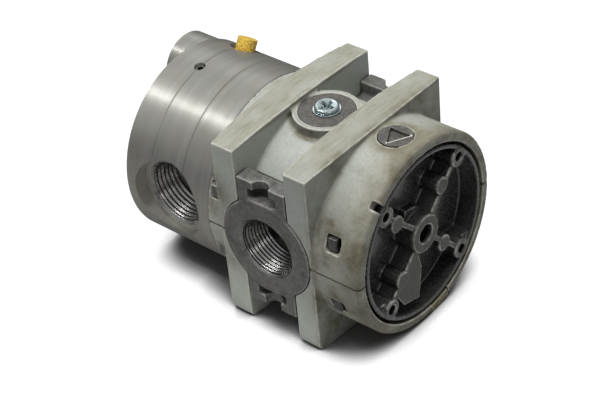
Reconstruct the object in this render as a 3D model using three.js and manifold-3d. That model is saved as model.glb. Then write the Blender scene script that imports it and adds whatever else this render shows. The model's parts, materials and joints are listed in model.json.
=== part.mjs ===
// Pilot-operated in-line poppet valve for compressed air.
// Millimetres. X runs along the main axis from the head to the end cover, Y along the port axis and Z up.
// Stations along X are counted from the port axis. At the end the whole model moves forward, so that its
// origin is the centre of the head's rear face.
import * as THREE from 'three';
import { mergeVertices } from 'three/addons/utils/BufferGeometryUtils.js';
import Module from 'manifold-3d';

const wasm = await Module();
wasm.setup();

// ---------------------------------------------------------------- driving dimensions

const gap = 0.3; // clearance between neighbouring pieces
const half = 33; // half the width across the port faces' flanges
const faceProud = 0.5; // how far the port bosses stand out of the flanges

const flange = {
  inner: 9.9, // distance of the two clamp flanges from the port axis
  outer: 18.3,
  outerBow: 1.65, // extra thickness in the middle of the width
  innerBow: 0.6,
  bottom: -33.3,
  shoulder: 32.5, // height at the two ends of the crowned top
  crown: 34.4, // height in the middle
};
const casing = { bore: 29.2, barrel: 30.7, collar: 32.8, hood: 33.2, split: 0.1 };
const casingX = { rear: -24, rim: 36.2 };
const rim = { bore: 29.9, depth: 4.5, round: 1.6 };
const snap = { low: 9.3, high: 13.9, reach: 31.2 }; // windows and tongues, above and below the split
const hoodSnap = { from: 23.4, to: 28.1 };
const collarSnap = { from: -23, to: -19.6 };

const port = { boss: 17.1, bore: 9.3, mouth: 10.4, depth: 11.5 };
const lug = { halfX: 9.4, height: 23.8, thick: 5.5 };
const lugRoot = 19.1; // height of the body's step behind the lugs
const slot = { halfX: 5.6, low: 17.2, high: 20.6, depth: 4.6 };
const groove = { radius: 3.4, proud: 0.6 }; // upright half-round groove from the slot to the lug's end

const body = { radius: 28.9, rear: -23.9, front: 21.2 };
const chamber = { radius: 17, wallRear: -4, wallFront: 0, seatBore: 12.3 };
const passage = { outlet: [-9, -5.2], inlet: [1, 8.6], inner: 14, halfHeight: 6.5 };
const cylinder = { radius: 20.3, from: 8 };
const gauge = { plate: 8.93, play: 0.17, collar: 10.8, top: 32.4, seat: 29.1 };
const gaugeSeal = { radius: 6.4, wire: 0.85, inner: 5.3, outer: 7.5, depth: 2 };
const gaugeScrew = { hole: 2.1, holeFloor: 20.6, radius: 1.9, length: 12, head: 3.95, headHeight: 1.2 };
const crossRecess = { length: 5.4, width: 1, depth: 1, degrees: [-25, 65] };
const gaugeWasher = { radius: 4.5, thick: 0.6 };
const arrow = { x: 26.4, radius: 5.4, seat: 30.4, top: 33.15, recess: 1.3 };
const arrowHead = { tip: -4.4, base: 2.5, halfBase: 3.9 };

const cover = { radius: 28.9, wall: 1.5, rear: 22, recess: 26, floor: 28.8, rib: 1.8, ribTop: 35.4 };
const hub = { radius: 6.4, bore: 3.2 };
const boss = { offset: 18, radius: 3.4, hole: 1.7, tieTop: 34.6, tieLow: 14.8 };
const pad = { radius: 2.9, sites: [[9.8, 12], [9.8, -10.5], [-12.6, 11.6], [-11.6, -10.8]] };
const web = [[-1.6, -12], [-3.4, -23.4], [-11, -21.5], [-14.5, -16], [-3.4, -4.2]]; // wedge under the hub
const step = { outline: [[6, 3.5], [2.2, 7.6], [-3.6, 9], [-6, 3], [0, 0]], height: 2.7 };

const head = { radius: 33, rear: -60.05, bore: 16, floor: -56, joints: [-49.2, -35.8], edge: 0.5 };
const exhaust = { x: -42.2, spotface: 13.85, face: 28.2, mouth: 11.2, bore: 10.3, chamfer: 0.9 };
const rearBoss = { radius: 11, offset: 15, end: -75.3, bore: 5.9, depth: 12 };
const headScrew = { circle: 23.5, radius: 2, head: 3.5, headLength: 4, length: 40.5, key: 1.73 };
const headScrewAngles = [0, 120, 240];
const headScrewTip = -14; // depth of the tapped holes in the body
const headSeal = { radius: 19, wire: 0.9, inner: 17.9, outer: 20.1, depth: 2 };
const breatherSite = { x: -48.8, angle: 31, spotface: 5.2, seat: 31.6, bore: 3.3, radius: 3.4, top: 36.5 };
const pinSite = { angle: -7, radius: 1.7, bore: 1.9, foot: 27.3, top: 32.2 };

const stem = { radius: 3, bore: 3.15, rear: -43, front: 21.4, clip: [-36.1, -35.1], clipDepth: 0.5 };
const stemCollar = { from: -5.4, to: -3.2, radius: 5 };
const stemShank = { to: 13.2, radius: 4 }; // thicker stretch between the collar and the piston
const seat = { bore: 9.5, lip: 11, mainTip: -5.5, exhaustTip: -19.4 };
const mainSeat = { neck: 12, flange: 13.8, thick: 1.8 };
const exhaustSeat = { flange: 2.6, neck: 12 };
const guide = { rear: -30.5, front: -26.5, hub: 5.6, wall: 3, halfSpoke: 1.3 };
const poppet = { rear: -14.2, discRear: -12, discFront: -8.2, front: -5.9, hub: 6.8, radius: 13 };
const sealDisc = { half: 1.1, inner: 7.1, outer: 12.6, front: -6.9, rear: -13.2 };
const nut = { radius: 6, poppetThick: 3, poppetX: -16, pistonThick: 2.4, pistonX: 19.75 };
const piston = { rear: 13.4, grooveRear: 14.6, grooveFront: 17.2, front: 18.4, grooveFloor: 18 };
const pistonSeal = { radius: 19.15, wire: 1.05 };
const cup = { rear: -41.2, step: -38.4, front: -36.5, neck: [5.6, 5.9], flange: 9 };
const clip = { x: -35.6, half: 0.35, radius: 5, opening: 1.6 };
const spring = { rear: -55.8, front: -38.6, radius: 7, wire: 0.75, turns: 5 };
const latch = { angle: 169, halfWidth: 4, inner: 30.3, outer: 33.1, depth: 3 };
const rimNotch = { angle: -42, halfWidth: 1.2, depth: 2.6 };

// Facets around a turned surface: outside shapes, bores and hidden pieces.
const facets = { outside: 72, boss: 44, bore: 28, hidden: 18, small: 12, seal: 6 };

// ---------------------------------------------------------------- finishes

function finish(color, roughness, metalness) {
  return new THREE.MeshStandardMaterial({ color, roughness, metalness });
}
const finishes = {
  casing: finish(0x9b9c92, 0.55, 0.1),
  diecast: finish(0x6b6863, 0.5, 0.7),
  darkCast: finish(0x33312f, 0.4, 0.6),
  turned: finish(0xb8b6b0, 0.3, 0.95),
  bronze: finish(0xc9902f, 0.6, 0.8),
  brass: finish(0xb99a4e, 0.3, 0.9),
  zinc: finish(0xc6ced2, 0.25, 0.95),
  steel: finish(0x9a9a9c, 0.3, 0.95),
  rubber: finish(0x1c1c1d, 0.8, 0),
  plastic: finish(0xd8d6cc, 0.5, 0),
  latch: finish(0x7d7550, 0.5, 0.4),
};

// ---------------------------------------------------------------- solids from three.js geometry

function signedVolume(position, triangles) {
  const corner = [new THREE.Vector3(), new THREE.Vector3(), new THREE.Vector3()];
  let sum = 0;
  for (let i = 0; i < triangles.length; i += 3) {
    corner.forEach((vertex, k) => vertex.fromArray(position, 3 * triangles[i + k]));
    sum += corner[0].dot(corner[1].clone().cross(corner[2]));
  }
  return sum / 6;
}

// Turns a closed three.js geometry into a solid whose faces point out.
function solid(geometry) {
  geometry.deleteAttribute('normal');
  geometry.deleteAttribute('uv');
  const merged = mergeVertices(geometry, 1e-4);
  const index = merged.index.array;
  const position = merged.attributes.position.array;
  const triangles = [];
  for (let i = 0; i < index.length; i += 3) {
    const [a, b, c] = index.slice(i, i + 3);
    if (a !== b && b !== c && c !== a) triangles.push(a, b, c);
  }
  if (signedVolume(position, triangles) < 0) triangles.reverse();
  return new wasm.Manifold(new wasm.Mesh({
    numProp: 3,
    vertProperties: new Float32Array(position),
    triVerts: new Uint32Array(triangles),
  }));
}

// Turns a profile of [x, radius] corners about the main axis.
function turned(profile, segments = facets.outside) {
  const points = profile.map(([x, radius]) => new THREE.Vector2(radius, x));
  points.push(points[0].clone());
  return solid(new THREE.LatheGeometry(points, segments).rotateZ(-Math.PI / 2));
}

// A ring or, with no inner radius, a disc on the main axis.
function ring(from, to, outer, inner = 0, segments = facets.bore) {
  return turned([[from, inner], [from, outer], [to, outer], [to, inner]], segments);
}

const alongX = (geometry) => geometry.rotateZ(-Math.PI / 2);
const alongZ = (geometry) => geometry.rotateX(Math.PI / 2);

// A round bar between two stations of an axis; the radius may differ at its two ends.
function bar(axis, radius, from, to, centre = [0, 0, 0], segments = facets.bore) {
  const [startRadius, endRadius] = [radius].flat().length === 2 ? radius : [radius, radius];
  const geometry = new THREE.CylinderGeometry(endRadius, startRadius, to - from, segments);
  if (axis === 'x') alongX(geometry);
  if (axis === 'z') alongZ(geometry);
  const middle = new THREE.Vector3(...centre);
  middle[axis] += (from + to) / 2;
  return solid(geometry.translate(middle.x, middle.y, middle.z));
}

function block([x0, x1], [y0, y1], [z0, z1]) {
  const geometry = new THREE.BoxGeometry(x1 - x0, y1 - y0, z1 - z0);
  return solid(geometry.translate((x0 + x1) / 2, (y0 + y1) / 2, (z0 + z1) / 2));
}

// Turns a geometry that stands on +Z about the main axis; positive angles lean towards +Y.
const lean = (geometry, degrees) => geometry.rotateX(THREE.MathUtils.degToRad(-degrees));

// A round bar square to the main axis, from one radius to another.
function spoke(radius, from, to, x, degrees, segments = facets.hidden) {
  const geometry = alongZ(new THREE.CylinderGeometry(radius, radius, to - from, segments));
  return solid(lean(geometry.translate(x, 0, (from + to) / 2), degrees));
}

// A box square to the main axis: along X, across the spoke, and between two radii.
function spokeBlock([x0, x1], halfWidth, [from, to], degrees) {
  const geometry = new THREE.BoxGeometry(x1 - x0, 2 * halfWidth, to - from);
  return solid(lean(geometry.translate((x0 + x1) / 2, 0, (from + to) / 2), degrees));
}

// A flat outline of [y, z] corners, carried along X.
function plateX(outline, from, to) {
  const shape = new THREE.Shape(outline.map(([y, z]) => new THREE.Vector2(y, z)));
  const geometry = new THREE.ExtrudeGeometry(shape, { depth: to - from, bevelEnabled: false });
  const axes = new THREE.Matrix4().makeBasis(
    new THREE.Vector3(0, 1, 0),
    new THREE.Vector3(0, 0, 1),
    new THREE.Vector3(1, 0, 0),
  );
  return solid(geometry.applyMatrix4(axes).translate(from, 0, 0));
}

// A flat outline of [x, y] corners, carried along Z.
function plateZ(outline, from, to) {
  const shape = new THREE.Shape(outline.map(([x, y]) => new THREE.Vector2(x, y)));
  const geometry = new THREE.ExtrudeGeometry(shape, { depth: to - from, bevelEnabled: false });
  return solid(geometry.translate(0, 0, from));
}

const join = (first, ...rest) => rest.reduce((sum, piece) => sum.add(piece), first);
const cut = (first, ...rest) => rest.reduce((sum, piece) => sum.subtract(piece), first);
const turn = (degrees) => THREE.MathUtils.degToRad(degrees);
const onCircle = (radius, degrees) => [radius * Math.cos(turn(degrees)), radius * Math.sin(turn(degrees))];
const sides = [-1, 1];

// Points of an arc in any plane, as pairs.
function arc([cx, cy], radius, fromDegrees, toDegrees, steps) {
  return Array.from({ length: steps + 1 }, (_, i) => {
    const [dx, dy] = onCircle(radius, fromDegrees + ((toDegrees - fromDegrees) * i) / steps);
    return [cx + dx, cy + dy];
  });
}

// ---------------------------------------------------------------- the model's tree

const group = new THREE.Group();

function addPart(name, piece, material, parent = group, place = [0, 0, 0]) {
  const mesh = piece.getMesh();
  const geometry = new THREE.BufferGeometry();
  geometry.setAttribute('position', new THREE.BufferAttribute(mesh.vertProperties, mesh.numProp));
  geometry.setIndex(new THREE.BufferAttribute(mesh.triVerts, 1));
  const part = new THREE.Mesh(geometry, material);
  part.name = name;
  part.position.set(...place);
  parent.add(part);
}

// ---------------------------------------------------------------- casing shells

// One clamp flange: a bowed plan outline and a crowned, round-footed end outline, both carried through.
function clampFlange(side) {
  const steps = 20;
  const across = Array.from({ length: steps + 1 }, (_, i) => half * ((2 * i) / steps - 1));
  const bow = (y) => 1 - (y / half) ** 2;
  const outer = across.map((y) => [side * (flange.outer + flange.outerBow * bow(y)), y]);
  const inner = across.map((y) => [side * (flange.inner - flange.innerBow * bow(y)), y]).reverse();
  const plan = plateZ([...outer, ...inner], flange.bottom, flange.crown + 1);
  const foot = 2.5;
  const top = across.map((y) => [-y, flange.shoulder + (flange.crown - flange.shoulder) * bow(y)]);
  const end = [
    ...arc([-half + foot, flange.bottom + foot], foot, 180, 270, 5),
    ...arc([half - foot, flange.bottom + foot], foot, 270, 360, 5),
    ...top,
  ];
  const reach = flange.outer + flange.outerBow + 1;
  return plan.intersect(plateX(end, -reach, reach));
}

function hood() {
  const front = casingX.rim - rim.round;
  const nose = arc([front, casing.hood - rim.round], rim.round, 90, 0, 5);
  return turned([[flange.outer - 1, 0], [flange.outer - 1, casing.hood], ...nose, [casingX.rim, 0]]);
}

// The windows that the inner pieces' tongues snap into, on both sides of the casing.
function snapWindows() {
  const windows = [];
  for (const side of sides) {
    for (const level of sides) {
      for (const { from, to } of [hoodSnap, collarSnap]) {
        const across = side < 0 ? [-half - 1, -24] : [24, half + 1];
        const height = level < 0 ? [-snap.high, -snap.low] : [snap.low, snap.high];
        windows.push(block([from - gap, to + gap], across, [height[0] - gap, height[1] + gap]));
      }
    }
  }
  return windows;
}

function casingBlank() {
  const outer = join(
    clampFlange(-1),
    clampFlange(1),
    ring(-flange.outer, flange.outer, casing.barrel, 0, facets.outside),
    ring(casingX.rear, -flange.outer + 1, casing.collar, 0, facets.outside),
    hood(),
    bar('z', gauge.collar, 20, gauge.top, [0, 0, 0], facets.boss),
  );
  const reach = half + 5;
  const latchRear = casingX.rim - latch.depth;
  return cut(
    outer,
    ring(casingX.rear - 1, casingX.rim + 1, casing.bore),
    ring(casingX.rim - rim.depth, casingX.rim + 1, rim.bore, 0, facets.outside),
    bar('y', port.boss + gap, -reach, reach, [0, 0, 0], facets.boss),
    ...sides.map((side) => {
      const across = side < 0 ? [-reach, -20] : [20, reach];
      const level = lugRoot + gap;
      return block([-lug.halfX - gap, lug.halfX + gap], across, [-level, level]);
    }),
    bar('z', gauge.plate + gauge.play, 20, 40, [0, 0, 0], facets.bore),
    bar('z', arrow.radius + 0.2, arrow.seat - gap, 40, [arrow.x, 0, 0], facets.hidden),
    ...snapWindows(),
    spokeBlock([casingX.rim - rimNotch.depth, casingX.rim + 1], rimNotch.halfWidth, [28, 36], rimNotch.angle),
    spokeBlock([latchRear - gap, casingX.rim + 1], latch.halfWidth + gap, [28, 36], latch.angle),
  );
}

function addCasing() {
  const blank = casingBlank();
  const reach = 100;
  const upper = block([-reach, reach], [-reach, reach], [casing.split, reach]);
  const lower = block([-reach, reach], [-reach, reach], [-reach, -casing.split]);
  addPart('upper_shell', blank.intersect(upper), finishes.casing);
  addPart('lower_shell', blank.intersect(lower), finishes.casing);
}

// ---------------------------------------------------------------- die-cast body

// The clamp recess of one lug: a cross slot, and an upright groove from it to the lug's free end.
function clampRecess(side, level) {
  const sorted = (a, b) => [Math.min(a, b), Math.max(a, b)];
  const across = sorted(side * (half + faceProud), side * (half - slot.depth));
  const upright = sorted(level * slot.low, level * (lug.height + 1));
  return join(
    block([-slot.halfX, slot.halfX], across, sorted(level * slot.low, level * slot.high)),
    bar('z', groove.radius, ...upright, [0, side * (half + groove.proud), 0], facets.hidden),
  );
}

function valveBody() {
  const face = half + faceProud;
  const outer = join(
    ring(body.rear, body.front, body.radius),
    bar('y', port.boss, -face, face, [0, 0, 0], facets.boss),
    ...sides.map((side) => {
      const back = side * (half - lug.thick);
      const across = side < 0 ? [-half, back] : [back, half];
      return block([-lug.halfX, lug.halfX], across, [-lug.height, lug.height]);
    }),
    ...sides.map((side) => {
      const across = side < 0 ? [-half + 1, -20] : [20, half - 1];
      return block([-lug.halfX, lug.halfX], across, [-lugRoot, lugRoot]);
    }),
    ...snapTongues(collarSnap),
    bar('z', gauge.plate - 0.3, 20, gauge.seat - 0.1, [0, 0, 0], facets.hidden),
  );
  return cut(outer, ...valveBodyBores());
}

function valveBodyBores() {
  const face = half + faceProud;
  const bottom = face - port.depth;
  const chamfer = port.mouth - port.bore;
  const portBores = sides.flatMap((side) => {
    const bore = side < 0 ? [-face - 1, -bottom] : [bottom, face + 1];
    const mouth = side < 0 ? [-face, -face + chamfer] : [face - chamfer, face];
    const radii = side < 0 ? [port.mouth, port.bore] : [port.bore, port.mouth];
    return [
      bar('y', port.bore, ...bore, [0, 0, 0], facets.bore),
      bar('y', radii, ...mouth, [0, 0, 0], facets.bore),
    ];
  });
  const passageHeight = [-passage.halfHeight, passage.halfHeight];
  const bossHoles = atCorners((place) => bar('x', boss.hole, 10, body.front + 1, place, facets.small));
  const headHoles = headScrewAngles.map((angle) => {
    const [y, z] = onCircle(headScrew.circle, angle);
    return bar('x', headScrew.radius + 0.1, body.rear - 1, headScrewTip, [0, y, z], facets.small);
  });
  return [
    ring(body.rear - 1, chamber.wallRear, chamber.radius),
    ring(chamber.wallFront, cylinder.from + 1, chamber.radius),
    ring(cylinder.from, body.front + 1, cylinder.radius),
    ring(chamber.wallRear - 1, chamber.wallFront + 1, chamber.seatBore),
    ...portBores,
    block(passage.outlet, [-bottom - 1, -passage.inner], passageHeight),
    block(passage.inlet, [passage.inner, bottom + 1], passageHeight),
    ...sides.flatMap((side) => sides.map((level) => clampRecess(side, level))),
    bar('z', gaugeScrew.hole, gaugeScrew.holeFloor, gauge.seat + 1, [0, 0, 0], facets.small),
    sealGroove(),
    ...bossHoles,
    ...headHoles,
  ];
}

// One piece at each of the four corners where the end cover's bosses stand.
function atCorners(make) {
  return sides.flatMap((y) => sides.map((z) => make([0, y * boss.offset, z * boss.offset])));
}

// The groove around the gauge port's screw that holds its seal.
function sealGroove() {
  const floor = gauge.seat - gaugeSeal.depth;
  return cut(
    bar('z', gaugeSeal.outer, floor, gauge.seat + 1, [0, 0, 0], facets.hidden),
    bar('z', gaugeSeal.inner, floor - 1, gauge.seat + 2, [0, 0, 0], facets.hidden),
  );
}

// Tongues that stand out of an inner piece into the casing's windows.
function snapTongues({ from, to }) {
  const tongues = [];
  for (const side of sides) {
    for (const level of sides) {
      const across = side < 0 ? [-snap.reach, -24] : [24, snap.reach];
      const height = level < 0 ? [-snap.high, -snap.low] : [snap.low, snap.high];
      tongues.push(block([from, to], across, height));
    }
  }
  return tongues;
}

// ---------------------------------------------------------------- gauge port and flow arrow

// A pan-head screw with a cross recess, and the underside of its head at its own origin.
function panHeadScrew() {
  const { radius, length, head: rimRadius, headHeight } = gaugeScrew;
  const profile = [
    [-length, 0],
    [-length, radius - 0.4],
    [-length + 0.4, radius],
    [0, radius],
    [0, rimRadius],
    [headHeight - 0.45, rimRadius],
    [headHeight - 0.15, rimRadius - 0.45],
    [headHeight, rimRadius - 1.1],
    [headHeight, 0],
  ];
  const points = profile.map(([z, r]) => new THREE.Vector2(r, z));
  const screw = solid(alongZ(new THREE.LatheGeometry(points, facets.bore)));
  const cross = crossRecess.degrees.map((degrees) => {
    const blade = new THREE.BoxGeometry(crossRecess.length, crossRecess.width, 2 * crossRecess.depth);
    return solid(blade.translate(0, 0, headHeight).rotateZ(turn(degrees)));
  });
  return cut(screw, ...cross);
}

function addGaugePort() {
  const clearance = bar('z', gaugeScrew.hole, 20, 40, [0, 0, 0], facets.small);
  const plate = bar('z', gauge.plate, gauge.seat, gauge.top - 0.05, [0, 0, 0], facets.bore);
  const washerTop = gauge.top + gaugeWasher.thick;
  const washer = bar('z', gaugeWasher.radius, gauge.top, washerTop, [0, 0, 0], facets.bore);
  addPart('gauge_port_cover', cut(plate, clearance), finishes.diecast);
  addPart('gauge_port_washer', cut(washer, clearance), finishes.zinc);
  addPart('gauge_port_screw', panHeadScrew(), finishes.zinc, group, [0, 0, washerTop + 0.05]);
  const hoop = new THREE.TorusGeometry(gaugeSeal.radius, gaugeSeal.wire, facets.seal, facets.hidden);
  addPart('gauge_port_seal', solid(hoop), finishes.rubber, group, [0, 0, gauge.seat - 1]);
}

function addFlowArrow() {
  const disc = bar('z', arrow.radius, arrow.seat, arrow.top, [arrow.x, 0, 0], facets.hidden);
  const { tip, base, halfBase } = arrowHead;
  const triangle = [[arrow.x, tip], [arrow.x + halfBase, base], [arrow.x - halfBase, base]];
  const recess = plateZ(triangle, arrow.top - arrow.recess, arrow.top + 1);
  addPart('flow_arrow_disc', cut(disc, recess), finishes.diecast);
}

// ---------------------------------------------------------------- end cover

// A straight wall of the cover between two [y, z] points.
function coverWall(start, end, thickness, from, to) {
  const length = Math.hypot(end[0] - start[0], end[1] - start[1]);
  const geometry = new THREE.BoxGeometry(to - from, length, thickness);
  geometry.rotateX(Math.atan2(end[1] - start[1], end[0] - start[0]));
  return solid(geometry.translate((from + to) / 2, (start[0] + end[0]) / 2, (start[1] + end[1]) / 2));
}

function endCover() {
  const inner = cover.radius - cover.wall;
  const top = casingX.rim;
  const bowl = turned([
    [cover.rear, 0],
    [cover.rear, cover.radius],
    [top - 0.5, cover.radius],
    [top - 0.3, cover.radius - 0.3],
    [top - 0.3, inner],
    [cover.floor, inner],
    [cover.floor, 0],
  ]);
  const ribs = atCorners(([, y, z]) => coverWall([0, 0], [y, z], cover.rib, cover.floor - 1, cover.ribTop));
  const bosses = atCorners((place) => {
    return bar('x', boss.radius, cover.floor - 1, top - 0.1, place, facets.hidden);
  });
  const solidCover = join(
    bowl,
    bar('x', hub.radius, cover.floor - 1, top, [0, 0, 0], facets.bore),
    ...ribs,
    ...bosses,
    ...bossTies(),
    ...coverPads(),
    ...coverSteps(),
    ...snapTongues(hoodSnap),
  );
  return cut(
    solidCover,
    ring(cover.rear - 1, cover.recess, cylinder.radius),
    bar('x', hub.bore, cover.rear - 1, top + 1, [0, 0, 0], facets.hidden),
    ...atCorners((place) => bar('x', boss.hole, cover.rear - 1, top + 1, place, facets.small)),
  );
}

// The blocks that tie the four bosses to the bowl's wall.
function bossTies() {
  const inside = ring(cover.floor - 1, boss.tieTop, cover.radius - 0.5);
  return sides.flatMap((y) => sides.map((z) => {
    const across = y < 0 ? [-cover.radius, -boss.offset] : [boss.offset, cover.radius];
    const height = z < 0 ? [-boss.offset, -boss.tieLow] : [boss.tieLow, boss.offset];
    return block([cover.floor - 1, boss.tieTop], across, height).intersect(inside);
  }));
}

// The solid round pads partway along the four ribs.
function coverPads() {
  return pad.sites.map(([y, z]) => {
    return bar('x', pad.radius, cover.floor - 1, cover.ribTop + 0.3, [0, y, z], facets.small);
  });
}

// The wedge-shaped web under the hub, and the low step beside it.
function coverSteps() {
  return [
    plateX(web, cover.floor - 1, cover.ribTop - 0.2),
    plateX(step.outline, cover.floor - 1, cover.floor + step.height),
  ];
}

function addLatchTab() {
  const from = casingX.rim - latch.depth;
  const tab = spokeBlock([from, casingX.rim - 0.3], latch.halfWidth, [latch.inner, latch.outer], latch.angle);
  addPart('latch_tab', tab, finishes.latch);
}

// ---------------------------------------------------------------- aluminium head

// One turned section of the head, with a bevel on its rear outer edge.
function headSection(rear, front) {
  const section = turned([
    [rear, 0],
    [rear, head.radius - head.edge],
    [rear + head.edge, head.radius],
    [front, head.radius],
    [front, 0],
  ]);
  return cut(section, ring(Math.max(rear - 1, head.floor), front + 1, head.bore));
}

// Everything that is bored through the stacked sections once they are clamped together.
function headBores() {
  const { x, face, chamfer } = exhaust;
  const screwHoles = headScrewAngles.map((angle) => {
    const [y, z] = onCircle(headScrew.circle, angle);
    return bar('x', headScrew.radius + 0.2, head.rear - 1, body.rear, [0, y, z], facets.small);
  });
  return [
    bar('y', exhaust.bore, -face - 1, -10, [x, 0, 0], facets.bore),
    bar('y', [exhaust.mouth, exhaust.bore], -face, -face + chamfer, [x, 0, 0], facets.bore),
    bar('y', exhaust.spotface, -head.radius - 2, -face, [x, 0, 0], facets.boss),
    spoke(breatherSite.spotface, breatherSite.seat, 36, breatherSite.x, breatherSite.angle),
    spoke(breatherSite.bore, 12, 36, breatherSite.x, breatherSite.angle, facets.small),
    spoke(pinSite.bore, pinSite.foot - gap, 36, head.joints[0], pinSite.angle, facets.small),
    ...screwHoles,
  ];
}

function rearCap() {
  const front = head.joints[0] - gap / 2;
  const { offset, radius, end, bore, depth } = rearBoss;
  const site = [0, offset, offset];
  const counterbores = headScrewAngles.map((angle) => {
    const [y, z] = onCircle(headScrew.circle, angle);
    const floor = head.rear + headScrew.headLength + 0.2;
    return bar('x', headScrew.head + 0.3, head.rear - 1, floor, [0, y, z], facets.hidden);
  });
  const outer = join(
    headSection(head.rear, front),
    bar('x', radius, end + 1, head.rear + 1, site, facets.boss),
    bar('x', [radius - 1, radius], end, end + 1, site, facets.boss),
  );
  return cut(
    outer,
    bar('x', bore, end - 1, end + depth, site, facets.hidden),
    ...headBores(),
    ...counterbores,
  );
}

function addHead() {
  const [rearJoint, frontJoint] = head.joints;
  const front = body.rear - gap;
  const adapter = cut(headSection(frontJoint + gap / 2, front), ...headBores(), faceGroove(front));
  addPart('adapter_flange', adapter, finishes.turned);
  const middle = cut(headSection(rearJoint + gap / 2, frontJoint - gap / 2), ...headBores());
  addPart('middle_ring', middle, finishes.turned);
  addPart('rear_cap', rearCap(), finishes.turned);
  const pin = spoke(pinSite.radius, pinSite.foot, pinSite.top, rearJoint, pinSite.angle);
  addPart('lock_pin', pin, finishes.steel);
  const seal = new THREE.TorusGeometry(headSeal.radius, headSeal.wire, facets.seal, facets.bore);
  addPart('adapter_seal', solid(seal.rotateY(Math.PI / 2)), finishes.rubber, group, [front - 0.95, 0, 0]);
  addBreather();
  headScrewAngles.forEach((angle, i) => {
    const [y, z] = onCircle(headScrew.circle, angle);
    const place = [head.rear + headScrew.headLength + 0.1, y, z];
    addPart(`head_screw_${'abc'[i]}`, socketScrew(), finishes.steel, group, place);
  });
}

function faceGroove(front) {
  return ring(front - headSeal.depth, front + 1, headSeal.outer, headSeal.inner);
}

// A long socket screw with the underside of its head at its own origin.
function socketScrew() {
  const { radius, head: headRadius, headLength, length, key } = headScrew;
  const profile = [
    [-headLength, 0],
    [-headLength, headRadius - 0.4],
    [-headLength + 0.4, headRadius],
    [0, headRadius],
    [0, radius],
    [length - 0.6, radius],
    [length, radius - 0.6],
    [length, 0],
  ];
  const hexagon = alongX(new THREE.CylinderGeometry(key, key, 4, 6)).translate(-headLength, 0, 0);
  return cut(turned(profile, facets.small), solid(hexagon));
}

function addBreather() {
  const { x, angle, seat: foot, bore, radius, top } = breatherSite;
  const plug = join(
    spoke(radius, foot + 0.1, top, x, angle),
    spoke(bore - 0.3, 24, foot + 1, x, angle),
  );
  addPart('breather', plug, finishes.bronze);
}

// ---------------------------------------------------------------- seats and guide

function addSeats() {
  const { bore, lip, mainTip, exhaustTip } = seat;
  const main = turned([
    [mainTip, bore],
    [mainTip, lip],
    [chamber.wallRear - gap, mainSeat.neck],
    [chamber.wallFront + gap, mainSeat.neck],
    [chamber.wallFront + gap, mainSeat.flange],
    [chamber.wallFront + mainSeat.thick, mainSeat.flange],
    [chamber.wallFront + mainSeat.thick, bore],
  ], facets.bore);
  addPart('main_seat_ring', main, finishes.brass);
  const back = body.rear + gap;
  const rear = turned([
    [back, bore],
    [back, chamber.radius - gap],
    [back + exhaustSeat.flange, chamber.radius - gap],
    [back + exhaustSeat.flange, exhaustSeat.neck],
    [exhaustTip, lip],
    [exhaustTip, bore],
  ], facets.bore);
  addPart('exhaust_seat_ring', rear, finishes.brass);
}

function addStemGuide() {
  const { rear: from, front: to, halfSpoke } = guide;
  const outer = ring(from, to, head.bore - gap, head.bore - guide.wall);
  const hubRing = ring(from, to, guide.hub, 0, facets.hidden);
  const spokes = headScrewAngles.map((angle) => {
    return spokeBlock([from + 1, to - 1], halfSpoke, [4, head.bore - 2], angle + 90);
  });
  const bore = ring(from - 1, to + 1, stem.bore, 0, facets.hidden);
  addPart('stem_guide', cut(join(outer, hubRing, ...spokes), bore), finishes.brass);
}

// ---------------------------------------------------------------- moving valve train

function addValveTrain() {
  const train = new THREE.Group();
  group.add(train);
  const { radius, bore, rear, front } = stem;
  const shaft = turned([
    [rear, 0],
    [rear, radius],
    [stem.clip[0], radius],
    [stem.clip[0], radius - stem.clipDepth],
    [stem.clip[1], radius - stem.clipDepth],
    [stem.clip[1], radius],
    [stemCollar.from, radius],
    [stemCollar.from, stemCollar.radius],
    [stemCollar.to, stemCollar.radius],
    [stemCollar.to, stemShank.radius],
    [stemShank.to, stemShank.radius],
    [stemShank.to, radius],
    [front, radius],
    [front, 0],
  ], facets.hidden);
  addPart('valve_stem', shaft, finishes.steel, train);
  const disc = turned([
    [poppet.rear, bore],
    [poppet.rear, poppet.hub],
    [poppet.discRear, poppet.hub],
    [poppet.discRear, poppet.radius],
    [poppet.discFront, poppet.radius],
    [poppet.discFront, poppet.hub],
    [poppet.front, poppet.hub],
    [poppet.front, bore],
  ], facets.bore);
  addPart('poppet', disc, finishes.brass, train);
  const { half: thick, inner, outer } = sealDisc;
  const face = () => ring(-thick, thick, outer, inner);
  addPart('front_seal_disc', face(), finishes.rubber, train, [sealDisc.front, 0, 0]);
  addPart('rear_seal_disc', face(), finishes.rubber, train, [sealDisc.rear, 0, 0]);
  addPart('poppet_nut', hexNut(nut.poppetThick), finishes.steel, train, [nut.poppetX, 0, 0]);
  addPilotPiston(train);
  const springCup = turned([
    [cup.rear, bore],
    [cup.rear, cup.neck[0]],
    [cup.step, cup.neck[1]],
    [cup.step, cup.flange],
    [cup.front, cup.flange],
    [cup.front, bore],
  ], facets.hidden);
  addPart('spring_cup', springCup, finishes.steel, train);
  addPart('retaining_ring', retainingRing(), finishes.steel, train, [clip.x, 0, 0]);
}

// A hexagon nut centred on its own origin.
function hexNut(thickness) {
  const hexagon = alongX(new THREE.CylinderGeometry(nut.radius, nut.radius, thickness, 6));
  return cut(solid(hexagon), ring(-thickness, thickness, stem.bore, 0, facets.hidden));
}

// An open spring-steel ring that sits in the stem's groove.
function retainingRing() {
  const opening = block([-1, 1], [-clip.opening, clip.opening], [0, clip.radius + 1]);
  return cut(ring(-clip.half, clip.half, clip.radius, stem.radius - 0.3, facets.hidden), opening);
}

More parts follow.
